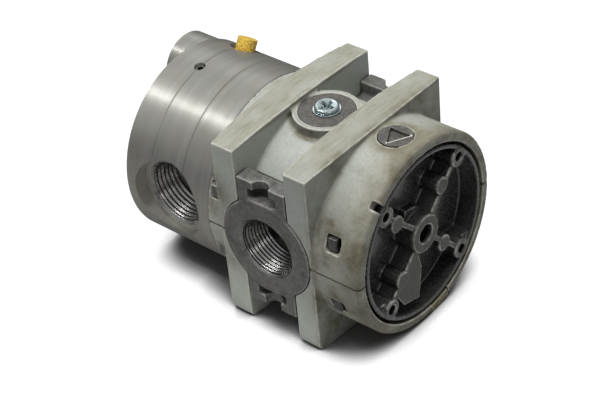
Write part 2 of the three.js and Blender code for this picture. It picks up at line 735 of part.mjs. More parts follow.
function addPilotPiston(train) {
  const disc = cylinder.radius - gap;
  const { rear, grooveRear, grooveFront, front, grooveFloor } = piston;
  const pistonBody = turned([
    [rear, stem.bore],
    [rear, disc],
    [grooveRear, disc],
    [grooveRear, grooveFloor],
    [grooveFront, grooveFloor],
    [grooveFront, disc],
    [front, disc],
    [front, stem.bore],
  ], facets.hidden);
  addPart('pilot_piston', pistonBody, finishes.plastic, train);
  const hoop = new THREE.TorusGeometry(pistonSeal.radius, pistonSeal.wire, facets.seal, facets.bore);
  const sealX = (grooveRear + grooveFront) / 2;
  addPart('piston_seal', solid(hoop.rotateY(Math.PI / 2)), finishes.rubber, train, [sealX, 0, 0]);
  addPart('piston_nut', hexNut(nut.pistonThick), finishes.steel, train, [nut.pistonX, 0, 0]);
}

class Helix extends THREE.Curve {
  getPoint(t, target = new THREE.Vector3()) {
    const { rear, front, radius, wire, turns } = spring;
    const angle = 2 * Math.PI * turns * t;
    const x = THREE.MathUtils.lerp(rear + wire, front - wire, t);
    return target.set(x, radius * Math.cos(angle), radius * Math.sin(angle));
  }
}

function addReturnSpring() {
  const section = new THREE.Shape().absarc(0, 0, spring.wire, 0, 2 * Math.PI);
  const wire = new THREE.ExtrudeGeometry(section, {
    extrudePath: new Helix(),
    steps: 9 * spring.turns,
    curveSegments: 3,
    bevelEnabled: false,
  });
  addPart('return_spring', solid(wire), finishes.steel);
}

function addCoverGasket() {
  const sheet = ring(body.front + 0.1, cover.rear - 0.1, 28.4, 21);
  const holes = atCorners((place) => {
    return bar('x', boss.hole + 0.2, body.front - 1, cover.rear + 1, place, facets.small);
  });
  addPart('cover_gasket', cut(sheet, ...holes), finishes.rubber);
}

addCasing();
addPart('valve_body', valveBody(), finishes.diecast);
addPart('end_cover', endCover(), finishes.darkCast);
addCoverGasket();
addGaugePort();
addFlowArrow();
addLatchTab();
addHead();
addSeats();
addStemGuide();
addValveTrain();
addReturnSpring();

group.position.x = -head.rear;

export default group;
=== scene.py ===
import json
import math

import bmesh
import bpy
import numpy as np
from mathutils import Matrix, Vector, noise


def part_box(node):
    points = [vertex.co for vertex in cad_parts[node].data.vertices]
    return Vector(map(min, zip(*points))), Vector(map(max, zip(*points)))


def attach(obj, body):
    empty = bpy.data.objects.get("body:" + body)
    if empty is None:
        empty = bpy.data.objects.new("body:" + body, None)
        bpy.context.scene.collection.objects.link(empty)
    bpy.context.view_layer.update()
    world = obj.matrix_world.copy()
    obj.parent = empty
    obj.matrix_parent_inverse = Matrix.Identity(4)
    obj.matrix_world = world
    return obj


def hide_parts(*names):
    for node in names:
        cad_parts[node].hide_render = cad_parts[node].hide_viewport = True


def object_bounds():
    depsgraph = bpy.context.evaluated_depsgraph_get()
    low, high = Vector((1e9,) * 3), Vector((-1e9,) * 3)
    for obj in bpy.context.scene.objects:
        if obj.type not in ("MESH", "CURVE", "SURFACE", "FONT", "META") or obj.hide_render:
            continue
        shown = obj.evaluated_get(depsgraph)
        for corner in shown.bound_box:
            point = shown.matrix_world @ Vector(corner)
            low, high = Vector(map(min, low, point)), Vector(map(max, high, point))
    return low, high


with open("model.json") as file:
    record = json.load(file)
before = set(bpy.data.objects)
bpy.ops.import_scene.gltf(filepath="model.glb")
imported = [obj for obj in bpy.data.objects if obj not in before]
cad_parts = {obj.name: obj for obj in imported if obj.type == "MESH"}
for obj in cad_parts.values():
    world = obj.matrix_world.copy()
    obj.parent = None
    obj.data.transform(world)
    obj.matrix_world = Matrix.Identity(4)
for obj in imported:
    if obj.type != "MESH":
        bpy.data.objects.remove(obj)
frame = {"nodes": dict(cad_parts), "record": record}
cad_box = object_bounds()

MM = 0.001
NODES = frame["nodes"]
MOUNT_PLACES = {m["name"]: Vector(m["pos_m"]) / MM for m in frame["record"]["mounts"]}

# The frame starts at the head's rear face. In this script, stations along X are counted from the port axis.
PORT_AXIS = Vector((MOUNT_PLACES["outlet_port_face"].x, 0, 0))
MOUNTS = {name: place - PORT_AXIS for name, place in MOUNT_PLACES.items()}
SLOT_OF = {s["node"]: s["material_slot"] for s in frame["record"]["subparts"]}

# Threads of the ports, in millimetres: crest and root radius, radius of the mouth, pitch and length.
INLINE_THREAD = {"crest": 9.25, "root": 9.7, "mouth": 10.35, "pitch": 1.35, "length": 11.3}
EXHAUST_THREAD = {"crest": 10.25, "root": 10.82, "mouth": 11.75, "pitch": 1.7, "length": 11.0}
THREAD_START = 0.9  # the depth where a thread begins; it has its full height one pitch further in

# The casing and the body, in millimetres.
CASING_RADII = {"barrel": 30.7, "collar": 32.8, "hood": 33.2, "bore": 29.2, "rim": 29.9}
GAUGE_COLLAR = {"radius": 10.8, "top": 32.2}
PORT_FLANGE = {"radius": 17.1, "faced": 16.8, "recess_in_casing": 17.4}
HOOD_START = 18.9  # the station where the hood rises from the front flange

# The windows that the snap tongues show through: their stations, and their height above or below the split.
WINDOW_STATIONS = (25.7, -21.3)
WINDOW_LEVEL = 11.6

# The hood's tongues, and how much shorter they are than their windows at either end.
HOOD_TONGUE = {"rear": 23.4, "front": 28.1, "rear_gap": 0.25, "front_gap": 0.95}
HOOD_TONGUE_Y = (27.6, 33)
HOOD_TONGUE_Z = (8.8, 14.4)

# The flow arrow's recess, seen from its disc's centre: the point of the arrow and one corner of its base.
ARROW_POINT = (0, -4.4)
ARROW_CORNER = (3.9, 2.5)

# The head's features that its boxes don't give, in millimetres. Each section reaches a little further
# forward than its node, so that the joints look as thin as they are.
HEAD = {"radius": 33, "bore": 16.0, "rear_edge": 0.5, "joint_edge": 0.28, "front_edge": 0.25, "reach": 0.24}
EXHAUST_SPOTFACE = 13.85
BREATHER = {"angle": 31.0, "x": -48.8, "spotface": 5.2, "seat": 31.6, "bore": 3.5}
PIN_HOLE = {"angle": -7.0, "x": -49.2, "radius": 1.9, "foot": 27.0}
PIN = {"top": 32.2, "foot": 27.3, "outer": 1.68, "inner": 1.0}
SCREWS = {"circle": 23.5, "clear": 2.2, "counterbore": 3.8, "depth": 4.2, "angles": (0, 120, 240)}
REAR_BOSS = {"offset": 15.0, "radius": 11.0, "edge": 0.8, "bore": 5.9, "depth": 12.0}
REAR_WALL = 4  # the thickness behind the head's bore

FINE = 240  # the straight sides of a full circle
MOST_TRIANGLES = 190_000  # of one piece
WELD_REACH = 2e-6  # metres
FACET_SAG = 0.9962  # the middle of a facet lies at this share of the true radius
SNAP_REACH = 0.07  # points this far off a round surface, in millimetres, still belong to it
FULL_EDGE_BEND = 1.6  # an edge that bends more tightly than this, in 1/mm, gets the most lightening, as wear and painted highlight


# ---------------------------------------------------------------- mesh helpers, in millimetres

def box_mm(node):
    low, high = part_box(node)
    return low / MM - PORT_AXIS, high / MM - PORT_AXIS


def add_object(name, mesh):
    obj = bpy.data.objects.new(name, mesh)
    bpy.context.scene.collection.objects.link(obj)
    return obj


def object_from(name, points, faces):
    mesh = bpy.data.meshes.new(name)
    mesh.from_pydata([(Vector(p) + PORT_AXIS) * MM for p in points], [], faces)
    mesh.validate()
    return add_object(name, mesh)


def welded(mesh):
    work = bmesh.new()
    work.from_mesh(mesh)
    bmesh.ops.remove_doubles(work, verts=work.verts, dist=WELD_REACH)
    bmesh.ops.recalc_face_normals(work, faces=work.faces)
    work.to_mesh(mesh)
    work.free()
    return mesh


def copy_of(node):
    return add_object(node + "_skin", welded(NODES[node].data.copy()))


def apply_modifiers(obj):
    graph = bpy.context.evaluated_depsgraph_get()
    mesh = bpy.data.meshes.new_from_object(obj.evaluated_get(graph))
    obj.modifiers.clear()
    obj.data = mesh


def boolean(obj, cutters, operation="DIFFERENCE"):
    """Cuts or joins exactly, and removes the cutters."""
    for cutter in cutters:
        step = obj.modifiers.new("cut", "BOOLEAN")
        step.operation = operation
        step.solver = "EXACT"
        step.object = cutter
    apply_modifiers(obj)
    for cutter in cutters:
        bpy.data.objects.remove(cutter)
    return obj


def turned(name, profile, segments=None, axis="x", centre=(0, 0, 0)):
    """A closed profile of (station, radius) corners, turned about an axis through centre."""
    segments = segments or FINE
    count = len(profile)
    turn = {
        "x": lambda s, c, d: (s, c, d),
        "y": lambda s, c, d: (d, s, c),
        "z": lambda s, c, d: (c, d, s),
    }[axis]
    points = []
    for i in range(segments):
        angle = 2 * math.pi * i / segments
        for station, radius in profile:
            place = turn(station, radius * math.cos(angle), radius * math.sin(angle))
            points.append(Vector(place) + Vector(centre))
    faces = []
    for i in range(segments):
        j = (i + 1) % segments
        for k in range(count):
            m = (k + 1) % count
            faces.append((i * count + k, i * count + m, j * count + m, j * count + k))
    obj = object_from(name, points, faces)
    welded(obj.data)
    work = bmesh.new()
    work.from_mesh(obj.data)
    bmesh.ops.dissolve_degenerate(work, edges=work.edges, dist=1e-7)
    bmesh.ops.recalc_face_normals(work, faces=work.faces)
    work.to_mesh(obj.data)
    work.free()
    return obj


def bar(radius, start, end, axis, centre=(0, 0, 0), segments=None):
    return turned("cutter", [(start, 0), (start, radius), (end, radius), (end, 0)], segments, axis, centre)


def spoke(radius, start, end, x, degrees):
    """A bar square to the main axis that leans from +Z towards +Y."""
    obj = bar(radius, start, end, "z", segments=FINE // 2)
    angle = Matrix.Rotation(math.radians(-degrees), 4, "X")
    obj.data.transform(Matrix.Translation((x * MM, 0, 0)) @ angle)
    return obj


def soften(obj, voxel, passes):
    """Remeshes evenly and rounds the edges, as on a casting or a moulding."""
    remesh = obj.modifiers.new("remesh", "REMESH")
    remesh.mode = "VOXEL"
    remesh.voxel_size = voxel * MM * 1
    smooth = obj.modifiers.new("smooth", "SMOOTH")
    smooth.factor = 0.5
    smooth.iterations = max(1, passes // (1))
    apply_modifiers(obj)
    store(obj, "edge", convexity(obj) / FULL_EDGE_BEND)
    triangles = sum(len(face.vertices) - 2 for face in obj.data.polygons)
    if triangles > MOST_TRIANGLES:
        thin = obj.modifiers.new("thin", "DECIMATE")
        thin.ratio = MOST_TRIANGLES / triangles
        apply_modifiers(obj)
    return obj


def vertices_mm(obj):
    co = np.empty(len(obj.data.vertices) * 3, np.float32)
    obj.data.vertices.foreach_get("co", co)
    return co.reshape(-1, 3).astype(float) / MM - np.array(PORT_AXIS)


def normals_of(obj):
    normals = np.empty(len(obj.data.vertices) * 3, np.float32)
    obj.data.vertices.foreach_get("normal", normals)
    return normals.reshape(-1, 3)


def convexity(obj):
    """How tightly the surface bends outwards at each point, in 1/mm."""
    points, normals = vertices_mm(obj), normals_of(obj)
    pairs = np.empty(len(obj.data.edges) * 2, np.int32)
    obj.data.edges.foreach_get("vertices", pairs)
    a, b = pairs.reshape(-1, 2).T
    here, there = np.concatenate([a, b]), np.concatenate([b, a])
    step = points[there] - points[here]
    bend = -2 * (normals[here] * step).sum(1) / np.maximum((step**2).sum(1), 1e-6)
    count = np.maximum(np.bincount(here, minlength=len(points)), 1)
    mean = np.bincount(here, bend, len(points)) / count
    return 0.5 * mean + 0.5 * np.bincount(here, mean[there], len(points)) / count


def place_vertices_mm(obj, points):
    co = (points + np.array(PORT_AXIS)) * MM
    obj.data.vertices.foreach_set("co", co.astype(np.float32).ravel())
    obj.data.update()


def true_up(obj, axis, radii):
    """Moves points that lie on a faceted round surface around an axis onto the true radius."""
    points = vertices_mm(obj)
    across = [i for i in range(3) if i != "xyz".index(axis)]
    distance = np.maximum(np.hypot(*points[:, across].T), 1e-6)
    for radius in radii:
        near = (distance > radius * FACET_SAG - SNAP_REACH) & (distance < radius + SNAP_REACH)
        for i in across:
            points[near, i] *= radius / distance[near]
    place_vertices_mm(obj, points)


def shade(obj, angle=None):
    obj.data.shade_smooth()
    if angle is not None:
        obj.data.set_sharp_from_angle(angle=math.radians(angle))
    return obj


def store(obj, name, values):
    """Gives each vertex a value from 0 to 1 for the materials."""
    attribute = obj.data.attributes.new(name, "FLOAT", "POINT")
    attribute.data.foreach_set("value", np.clip(values, 0, 1).astype(np.float32))


def fade_edge(obj, keep):
    """Lessens the edge lightening, wear and painted highlight alike, to the given share at each vertex."""
    values = np.empty(len(obj.data.vertices), np.float32)
    obj.data.attributes["edge"].data.foreach_get("value", values)
    obj.data.attributes["edge"].data.foreach_set("value", (values * keep).astype(np.float32))


def noise_field(points, size, octaves, seed):
    """Smooth noise from about -1 to 1, with features of the given size in millimetres."""
    shift = Vector((seed, 2 * seed, -seed))
    return np.array([noise.fractal(Vector(p) / size + shift, 1.0, 2.0, octaves) for p in points])


def smoothstep(low, high, value):
    t = np.clip((value - low) / (high - low), 0, 1)
    return t * t * (3 - 2 * t)


def finish_piece(obj, node, material):
    """Makes the object stand for a node of the housing."""
    obj.data.materials.clear()
    obj.data.materials.append(material)
    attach(obj, "housing")
    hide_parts(node)


# ---------------------------------------------------------------- shader helpers

class Shader:
    """A material whose nodes are wired in a few calls."""

    def __init__(self, name):
        self.material = bpy.data.materials.new(name)
        self.material.use_nodes = True
        self.tree = self.material.node_tree
        self.surface = self.tree.nodes["Principled BSDF"]
        self.place = self.tree.nodes.new("ShaderNodeTexCoord").outputs["Object"]

    def node(self, kind, **values):
        made = self.tree.nodes.new(kind)
        for key, value in values.items():
            setattr(made, key, value)
        return made

    def link(self, source, target):
        if hasattr(source, "is_output"):
            self.tree.links.new(source, target)
        else:
            target.default_value = source

    def set(self, **inputs):
        for name, value in inputs.items():
            self.link(value, self.surface.inputs[name.replace("_", " ")])

    def stretched(self, x, y, z):
        mapping = self.node("ShaderNodeMapping")
        self.tree.links.new(self.place, mapping.inputs["Vector"])
        mapping.inputs["Scale"].default_value = (x, y, z)
        return mapping.outputs["Vector"]

    def rings(self, pitch_mm):
        """Lathe rings around the port axis."""
        mapping = self.node("ShaderNodeMapping")
        self.tree.links.new(self.place, mapping.inputs["Vector"])
        mapping.inputs["Location"].default_value = -PORT_AXIS * MM
        made = self.node("ShaderNodeTexWave", wave_type="RINGS", rings_direction="Y")
        self.tree.links.new(mapping.outputs["Vector"], made.inputs["Vector"])
        made.inputs["Scale"].default_value = 2 * math.pi / (20 * pitch_mm * MM)
        made.inputs["Distortion"].default_value = 0.4
        return made.outputs["Fac"]

    def noise(self, size_mm, detail=4.0, roughness=0.6, vector=None):
        made = self.node("ShaderNodeTexNoise")
        self.tree.links.new(vector or self.place, made.inputs["Vector"])
        made.inputs["Scale"].default_value = 1 / (size_mm * MM)
        made.inputs["Detail"].default_value = detail
        made.inputs["Roughness"].default_value = roughness
        return made.outputs["Fac"]

    def grains(self, size_mm):
        made = self.node("ShaderNodeTexVoronoi")
        self.tree.links.new(self.place, made.inputs["Vector"])
        made.inputs["Scale"].default_value = 1 / (size_mm * MM)
        return made.outputs

    def attribute(self, name):
        return self.node("ShaderNodeAttribute", attribute_name=name).outputs["Fac"]

    def ramp(self, value, low, high, start=0.0, end=1.0):
        made = self.node("ShaderNodeMapRange", interpolation_type="SMOOTHSTEP")
        self.link(value, made.inputs["Value"])
        for name, number in (("From Min", low), ("From Max", high), ("To Min", start), ("To Max", end)):
            made.inputs[name].default_value = number
        return made.outputs["Result"]

    def math(self, operation, *values):
        made = self.node("ShaderNodeMath", operation=operation)
        for value, socket in zip(values, made.inputs):
            self.link(value, socket)
        return made.outputs[0]

    def mix(self, amount, a, b):
        made = self.node("ShaderNodeMix", data_type="RGBA")
        self.link(amount, made.inputs[0])
        for socket, value in ((made.inputs[6], a), (made.inputs[7], b)):
            self.link((*value, 1.0) if isinstance(value, tuple) else value, socket)
        return made.outputs[2]

    def crevice(self, reach_mm, samples=6):
        """How closely other surfaces stand around a point, from 0 to 1."""
        made = self.node("ShaderNodeAmbientOcclusion", samples=samples)
        made.inputs["Distance"].default_value = reach_mm * MM
        return self.math("SUBTRACT", 1.0, made.outputs["AO"])

    def bump(self, *layers):
        """Each layer is (height, strength, depth in millimetres)."""
        normal = None
        for height, strength, depth in layers:
            made = self.node("ShaderNodeBump")
            made.inputs["Strength"].default_value = strength
            made.inputs["Distance"].default_value = depth * MM
            self.link(height, made.inputs["Height"])
            if normal:
                self.tree.links.new(normal, made.inputs["Normal"])
            normal = made.outputs["Normal"]
        self.tree.links.new(normal, self.surface.inputs["Normal"])


# ---------------------------------------------------------------- materials

def casing_material():
    s = Shader("casing")
    broad = s.noise(14, 3)
    fine = s.noise(0.7, 2, 0.5)
    clean = s.mix(s.ramp(broad, 0.35, 0.7), (0.30, 0.315, 0.285), (0.36, 0.375, 0.34))
    speckled = s.mix(s.ramp(fine, 0.35, 0.75, 0.0, 0.4), clean, (0.215, 0.225, 0.20))
    film = s.mix(s.attribute("film"), speckled, (0.22, 0.213, 0.165))
    streaks = s.ramp(s.noise(0.9, 4, 0.65, s.stretched(1, 0.1, 1)), 0.46, 0.66, 0.0, 0.7)
    film = s.mix(s.math("MULTIPLY", streaks, s.attribute("film")), film, (0.15, 0.14, 0.09))
    # Real grime, and painted shade at the collar's foot and beside the front flange, mixed in as dark brown.
    grime_and_shade = s.math("MULTIPLY", s.attribute("grime_and_shade"), s.ramp(s.noise(2.2, 5, 0.7), 0.25, 0.75, 0.5, 1.0))
    dirty_and_shaded = s.mix(grime_and_shade, film, (0.085, 0.07, 0.038))
    # Painted shade: tight creases darker, from the ambient occlusion.
    deep = s.mix(s.ramp(s.crevice(1.6), 0.25, 0.75, 0.0, 0.75), dirty_and_shaded, (0.05, 0.045, 0.03))
    patchy = s.ramp(s.noise(2.5, 4), 0.3, 0.65, 0.15, 0.6)
    # Convex edges lighter: edge wear, and painted highlights along the flange edges and the collar.
    edge = s.math("MULTIPLY", s.ramp(s.attribute("edge"), 0.15, 0.6), patchy)
    lighter_edges = s.mix(edge, deep, (0.56, 0.55, 0.49))
    s.set(Base_Color=lighter_edges, Roughness=s.ramp(s.noise(3.0), 0.3, 0.7, 0.42, 0.58), Specular_IOR_Level=0.45)
    s.bump((s.noise(0.45, 2), 0.25, 0.05), (s.noise(5.0, 3), 0.12, 0.15))
    return s.material


def diecast_material(name, low, high, metallic, edge_wear_and_highlight):
    s = Shader(name)
    mottle = s.noise(1.3, 5, 0.7)
    colour = s.mix(s.ramp(mottle, 0.32, 0.68), low, high)
    stained = s.mix(s.ramp(s.noise(5, 4), 0.5, 0.75, 0.0, 0.6), colour, tuple(0.6 * c for c in low))
    # Painted shade: near black in crevices, from the ambient occlusion.
    deep = s.mix(s.ramp(s.crevice(2.0), 0.35, 0.9, 0.0, 0.8), stained, (0.015, 0.013, 0.011))
    # Convex edges lighter: edge wear and a painted highlight along the port face's rim.
    lighter_edges = s.mix(s.ramp(s.attribute("edge"), 0.2, 0.7, 0.0, edge_wear_and_highlight), deep, (0.45, 0.44, 0.40))
    # A painted highlight along one edge of the flow arrow's recess.
    lightened = s.mix(s.attribute("arrow_highlight"), lighter_edges, (0.72, 0.70, 0.66))
    s.set(Base_Color=lightened, Metallic=metallic, Roughness=s.ramp(mottle, 0.3, 0.7, 0.4, 0.6))
    lathe_rings = s.math("MULTIPLY", s.attribute("faced"), s.rings(0.5))
    s.bump((s.noise(0.8, 4), 0.45, 0.12), (s.noise(0.25, 2), 0.3, 0.04), (lathe_rings, 0.5, 0.05))
    return s.material


def dark_cast_material():
    s = Shader("dark_cast")
    mottle = s.noise(1.0, 5, 0.7)
    colour = s.mix(s.ramp(mottle, 0.3, 0.72), (0.05, 0.049, 0.047), (0.085, 0.083, 0.08))
    # Painted shadow: near black deep in the bowl and its corners, from the ambient occlusion.
    deep = s.mix(s.ramp(s.crevice(9.0), 0.3, 0.9, 0.0, 0.94), colour, (0.012, 0.011, 0.010))
    bright = s.ramp(s.noise(2.2, 4), 0.35, 0.65, 0.1, 0.8)
    # Painted highlights along the inside edges and fillets.
    edge = s.math("MULTIPLY", s.attribute("inside"), s.ramp(s.attribute("edge"), 0.1, 0.42))
    edge = s.math("MULTIPLY", edge, bright)
    top = s.math("MULTIPLY", s.attribute("top"), s.ramp(s.noise(0.9, 4), 0.3, 0.7, 0.3, 1.0))
    lightened = s.mix(top, deep, (0.14, 0.137, 0.13))
    lighter_edges = s.mix(edge, lightened, (0.55, 0.54, 0.50))
    rough = s.math("MULTIPLY_ADD", s.attribute("top"), 0.3, s.ramp(mottle, 0.3, 0.7, 0.22, 0.32))
    s.set(Base_Color=lighter_edges, Metallic=0.5, Roughness=rough)
    s.set(Coat_Weight=s.math("SUBTRACT", 0.6, s.attribute("top")), Coat_Roughness=0.14)
    s.bump((s.noise(0.7, 3), 0.1, 0.05), (s.noise(3.0, 3), 0.15, 0.2))
    return s.material


def turned_material():
    s = Shader("turned_aluminium")
    lines = s.noise(0.16, 3, 0.7, s.stretched(1, 0.02, 0.02))
    bands = s.noise(2.6, 3, 0.6, s.stretched(1, 0.05, 0.05))
    blotch = s.noise(9, 4, 0.6)
    colour = s.mix(s.ramp(bands, 0.35, 0.65), (0.50, 0.49, 0.45), (0.57, 0.56, 0.52))
    tinted = s.mix(s.ramp(blotch, 0.45, 0.7, 0.0, 0.4), colour, (0.46, 0.43, 0.36))
    # Painted shade: darker in the joints and hollows, from the ambient occlusion.
    deep = s.mix(s.ramp(s.crevice(0.6), 0.4, 0.9, 0.0, 0.85), tinted, (0.05, 0.045, 0.035))
    tangent = s.node("ShaderNodeTangent", direction_type="RADIAL", axis="X").outputs[0]
    s.set(Base_Color=deep, Metallic=0.88, Roughness=s.ramp(lines, 0.3, 0.7, 0.46, 0.52))
    s.set(Anisotropic=0.92, Anisotropic_Rotation=0.25, Tangent=tangent)
    s.bump((lines, 0.2, 0.02))
    return s.material


def thread_material(name, colour, roughness):
    s = Shader(name)
    mottle = s.noise(1.2, 4)
    tone = s.mix(s.ramp(mottle, 0.3, 0.7), tuple(0.8 * c for c in colour), colour)
    # Painted shade: darker in the thread roots, from the ambient occlusion.
    deep = s.mix(s.ramp(s.crevice(2.2), 0.3, 0.85, 0.0, 0.8), tone, (0.02, 0.018, 0.015))
    rough = s.ramp(mottle, 0.3, 0.7, roughness - 0.04, roughness + 0.06)
    s.set(Base_Color=deep, Metallic=1.0, Roughness=rough)
    s.bump((s.noise(0.5, 3), 0.06, 0.03))
    return s.material


def bronze_material():
    s = Shader("sintered_bronze")
    grain = s.grains(0.42)
    colour = s.mix(s.ramp(grain["Distance"], 0.1, 0.7), (0.98, 0.66, 0.06), (0.50, 0.24, 0.02))
    varied = s.mix(s.ramp(s.noise(1.1), 0.35, 0.7, 0.0, 0.6), colour, (1.0, 0.86, 0.22))
    s.set(Base_Color=varied, Metallic=0.35, Roughness=0.45)
    s.bump((grain["Distance"], 0.8, -0.12))
    return s.material


def plain_material(name, colour, roughness, metallic=1.0, crease_shade=(1.0, 0.4, 0.95, 0.6)):
    """The crease shade is painted shade: its reach in millimetres, the crevices where it starts and is full,
    and its amount.
    """
    s = Shader(name)
    mottle = s.noise(1.5, 4)
    tone = s.mix(s.ramp(mottle, 0.3, 0.7), tuple(0.85 * c for c in colour), colour)
    reach, low, high, amount = crease_shade
    # Painted shade in crevices and recesses, from the ambient occlusion.
    deep = s.mix(s.ramp(s.crevice(reach), low, high, 0.0, amount), tone, (0.03, 0.03, 0.03))
    rough = s.ramp(mottle, 0.3, 0.7, roughness * 0.8, roughness * 1.25)
    s.set(Base_Color=deep, Metallic=metallic, Roughness=rough)
    s.bump((s.noise(0.4, 3), 0.12, 0.03))
    return s.material


def latch_material():
    s = Shader("latch")
    mottle = s.noise(1.2, 4)
    colour = s.mix(s.ramp(mottle, 0.3, 0.7), (0.10, 0.085, 0.045), (0.26, 0.235, 0.13))
    lighter_edges = s.mix(s.ramp(s.attribute("edge"), 0.2, 0.8, 0.0, 0.7), colour, (0.5, 0.48, 0.36))
    s.set(Base_Color=lighter_edges, Roughness=0.4)
    s.bump((s.noise(0.5, 3), 0.3, 0.06))
    return s.material


MATERIALS = {
    "casing_paint": casing_material(),
    "diecast": diecast_material("diecast", (0.09, 0.088, 0.081), (0.172, 0.169, 0.158), 0.35, 0.6),
    "dark_cast": dark_cast_material(),
    "turned_aluminium": turned_material(),
    "sintered_bronze": bronze_material(),
    "brass": plain_material("brass", (0.55, 0.40, 0.17), 0.3),
    "zinc_plate": plain_material("zinc_plate", (0.66, 0.74, 0.77), 0.16),
    "steel": plain_material("steel", (0.42, 0.41, 0.40), 0.3),
    "rubber": plain_material("rubber", (0.02, 0.02, 0.021), 0.6, metallic=0.0),
    "piston_plastic": plain_material("piston_plastic", (0.62, 0.60, 0.52), 0.45, metallic=0.0),
    "latch_plastic": latch_material(),
}
# Its strong crease shade paints the cross recess dark.
SCREW_ZINC = plain_material("screw_zinc", (0.60, 0.70, 0.70), 0.22, crease_shade=(1.2, 0.2, 0.7, 0.9))
OILED_DIECAST = diecast_material("oiled_diecast", (0.055, 0.052, 0.046), (0.13, 0.125, 0.113), 0.25, 0.12)
CAST_THREAD = thread_material("cast_thread", (0.40, 0.395, 0.385), 0.24)
TURNED_THREAD = thread_material("turned_thread", (0.44, 0.43, 0.415), 0.24)


# ---------------------------------------------------------------- casing

def spot(distance, spread):
    """A soft mark: 1 where the distance is 0, and fading over the spread."""
    return np.exp(-((distance / spread) ** 2))


def casing_dirt_and_shade(obj):
    """Stores where grime, painted shade and a thin yellowed film lie on the casing."""
    p = vertices_mm(obj)
    x, y, z = p.T
    radius = np.hypot(y, z)
    rim = box_mm("upper_shell")[1].x
    arrow_low, arrow_high = box_mm("flow_arrow_disc")
    arrow = (arrow_low + arrow_high) / 2
    patches = noise_field(p, 7.0, 4, 3.0)
    streaks = noise_field(p * np.array([0.35, 1, 1]), 3.0, 3, 9.0)
    on_top = z > 25

    at_rim = smoothstep(rim - 9, rim - 0.5, x)
    at_arrow = spot(np.hypot(x - arrow.x, y) - 6.2, 1.8) * on_top
    # Darker around the snap windows.
    windows = np.zeros(len(p))
    for station in WINDOW_STATIONS:
        for level in (-WINDOW_LEVEL, WINDOW_LEVEL):
            away = np.sqrt((x - station) ** 2 + (z - level) ** 2)
            windows = np.maximum(windows, spot(away, 8.5) * (np.abs(y) > 22))
    # Darker towards the bottom of the hood.
    low_hood = smoothstep(-12, -30, z) * smoothstep(20, 30, x)
    from_gauge_port = np.hypot(x, y)
    collar_foot = box_mm("gauge_port_cover")[1].x + 2.3
    # Painted shade and dirt at the foot of the gauge collar's wall.
    at_collar = spot(from_gauge_port - collar_foot, 0.8) * on_top * (z < GAUGE_COLLAR["top"] - 0.3)
    # Painted shade and dirt on the hood at the foot of the front flange.
    at_ridge = smoothstep(2.6, 0.2, np.abs(x - HOOD_START)) * (radius > 32.5)
    grime_and_shade = 0.7 * at_rim + 0.5 * at_arrow + 1.1 * windows + 0.5 * low_hood + 1.5 * at_collar + 0.6 * at_ridge

    collar_top = smoothstep(GAUGE_COLLAR["top"], GAUGE_COLLAR["top"] + 0.15, z)
    collar_top = collar_top * (from_gauge_port < GAUGE_COLLAR["radius"] + 0.1)
    handled = smoothstep(0.15, 0.9, patches + 0.5 * streaks) * (x > 18)
    at_split = smoothstep(0.6, 0.2, np.abs(z))
    grime_and_shade = grime_and_shade * (0.75 + 0.6 * patches) + 0.35 * collar_top + 0.28 * handled + 0.6 * at_split
    store(obj, "grime_and_shade", grime_and_shade)

    flange_top = smoothstep(31.6, 33.0, z) * (np.abs(x) > 9) * (0.85 + 0.4 * patches)
    on_hood = smoothstep(18, 30, x) * (radius > 32)
    store(obj, "film", 0.75 * flange_top + 0.3 * at_rim + 0.45 * on_hood)


def make_casing():
    gauge_bore = box_mm("gauge_port_cover")[1].x + 0.17
    for node in ("upper_shell", "lower_shell"):
        skin = soften(copy_of(node), 0.37, 2)
        true_up(skin, "x", CASING_RADII.values())
        true_up(skin, "z", (gauge_bore, GAUGE_COLLAR["radius"]))
        true_up(skin, "y", (PORT_FLANGE["recess_in_casing"],))
        from_split = np.abs(vertices_mm(skin)[:, 2])
        fade_edge(skin, smoothstep(0.4, 1.2, from_split))
        casing_dirt_and_shade(skin)
        finish_piece(shade(skin), node, MATERIALS["casing_paint"])


# ---------------------------------------------------------------- threads

def thread_radius(thread, depth, turn, outer):
    """The radius of the threaded wall: a V-shaped helix behind a chamfered mouth."""
    turns = depth / thread["pitch"] - turn
    ridge = 2 * abs(turns - round(turns))
    height = smoothstep(THREAD_START, thread["pitch"] + THREAD_START, depth) * ridge
    radius = thread["root"] - (thread["root"] - thread["crest"]) * height
    return min(max(radius, outer - depth), outer)


def thread_liner(name, thread, face, side, x, material):
    """The threaded wall of a port: a closed sleeve whose inner side carries the helix."""
    steps_per_pitch = 12
    rows = int(thread["length"] / thread["pitch"] * steps_per_pitch)
    depths = [thread["length"] * k / rows for k in range(rows + 1)]
    around = FINE // 2
    outer = thread["mouth"] - 0.01
    points, faces = [], []
    for i in range(around):
        angle = 2 * math.pi * i / around
        wall = [(depth, thread_radius(thread, depth, i / around, outer)) for depth in depths]
        for depth, radius in wall + [(thread["length"], outer)]:
            points.append((x + radius * math.cos(angle), face - side * depth, radius * math.sin(angle)))
    count = rows + 2
    for i in range(around):
        j = (i + 1) % around
        for k in range(count):
            m = (k + 1) % count
            faces.append((i * count + k, j * count + k, j * count + m, i * count + m))
    liner = object_from(name, points, faces)
    welded(liner.data)
    liner.data.materials.append(material)
    shade(liner, 75)
    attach(liner, "housing")


# ---------------------------------------------------------------- die-cast body

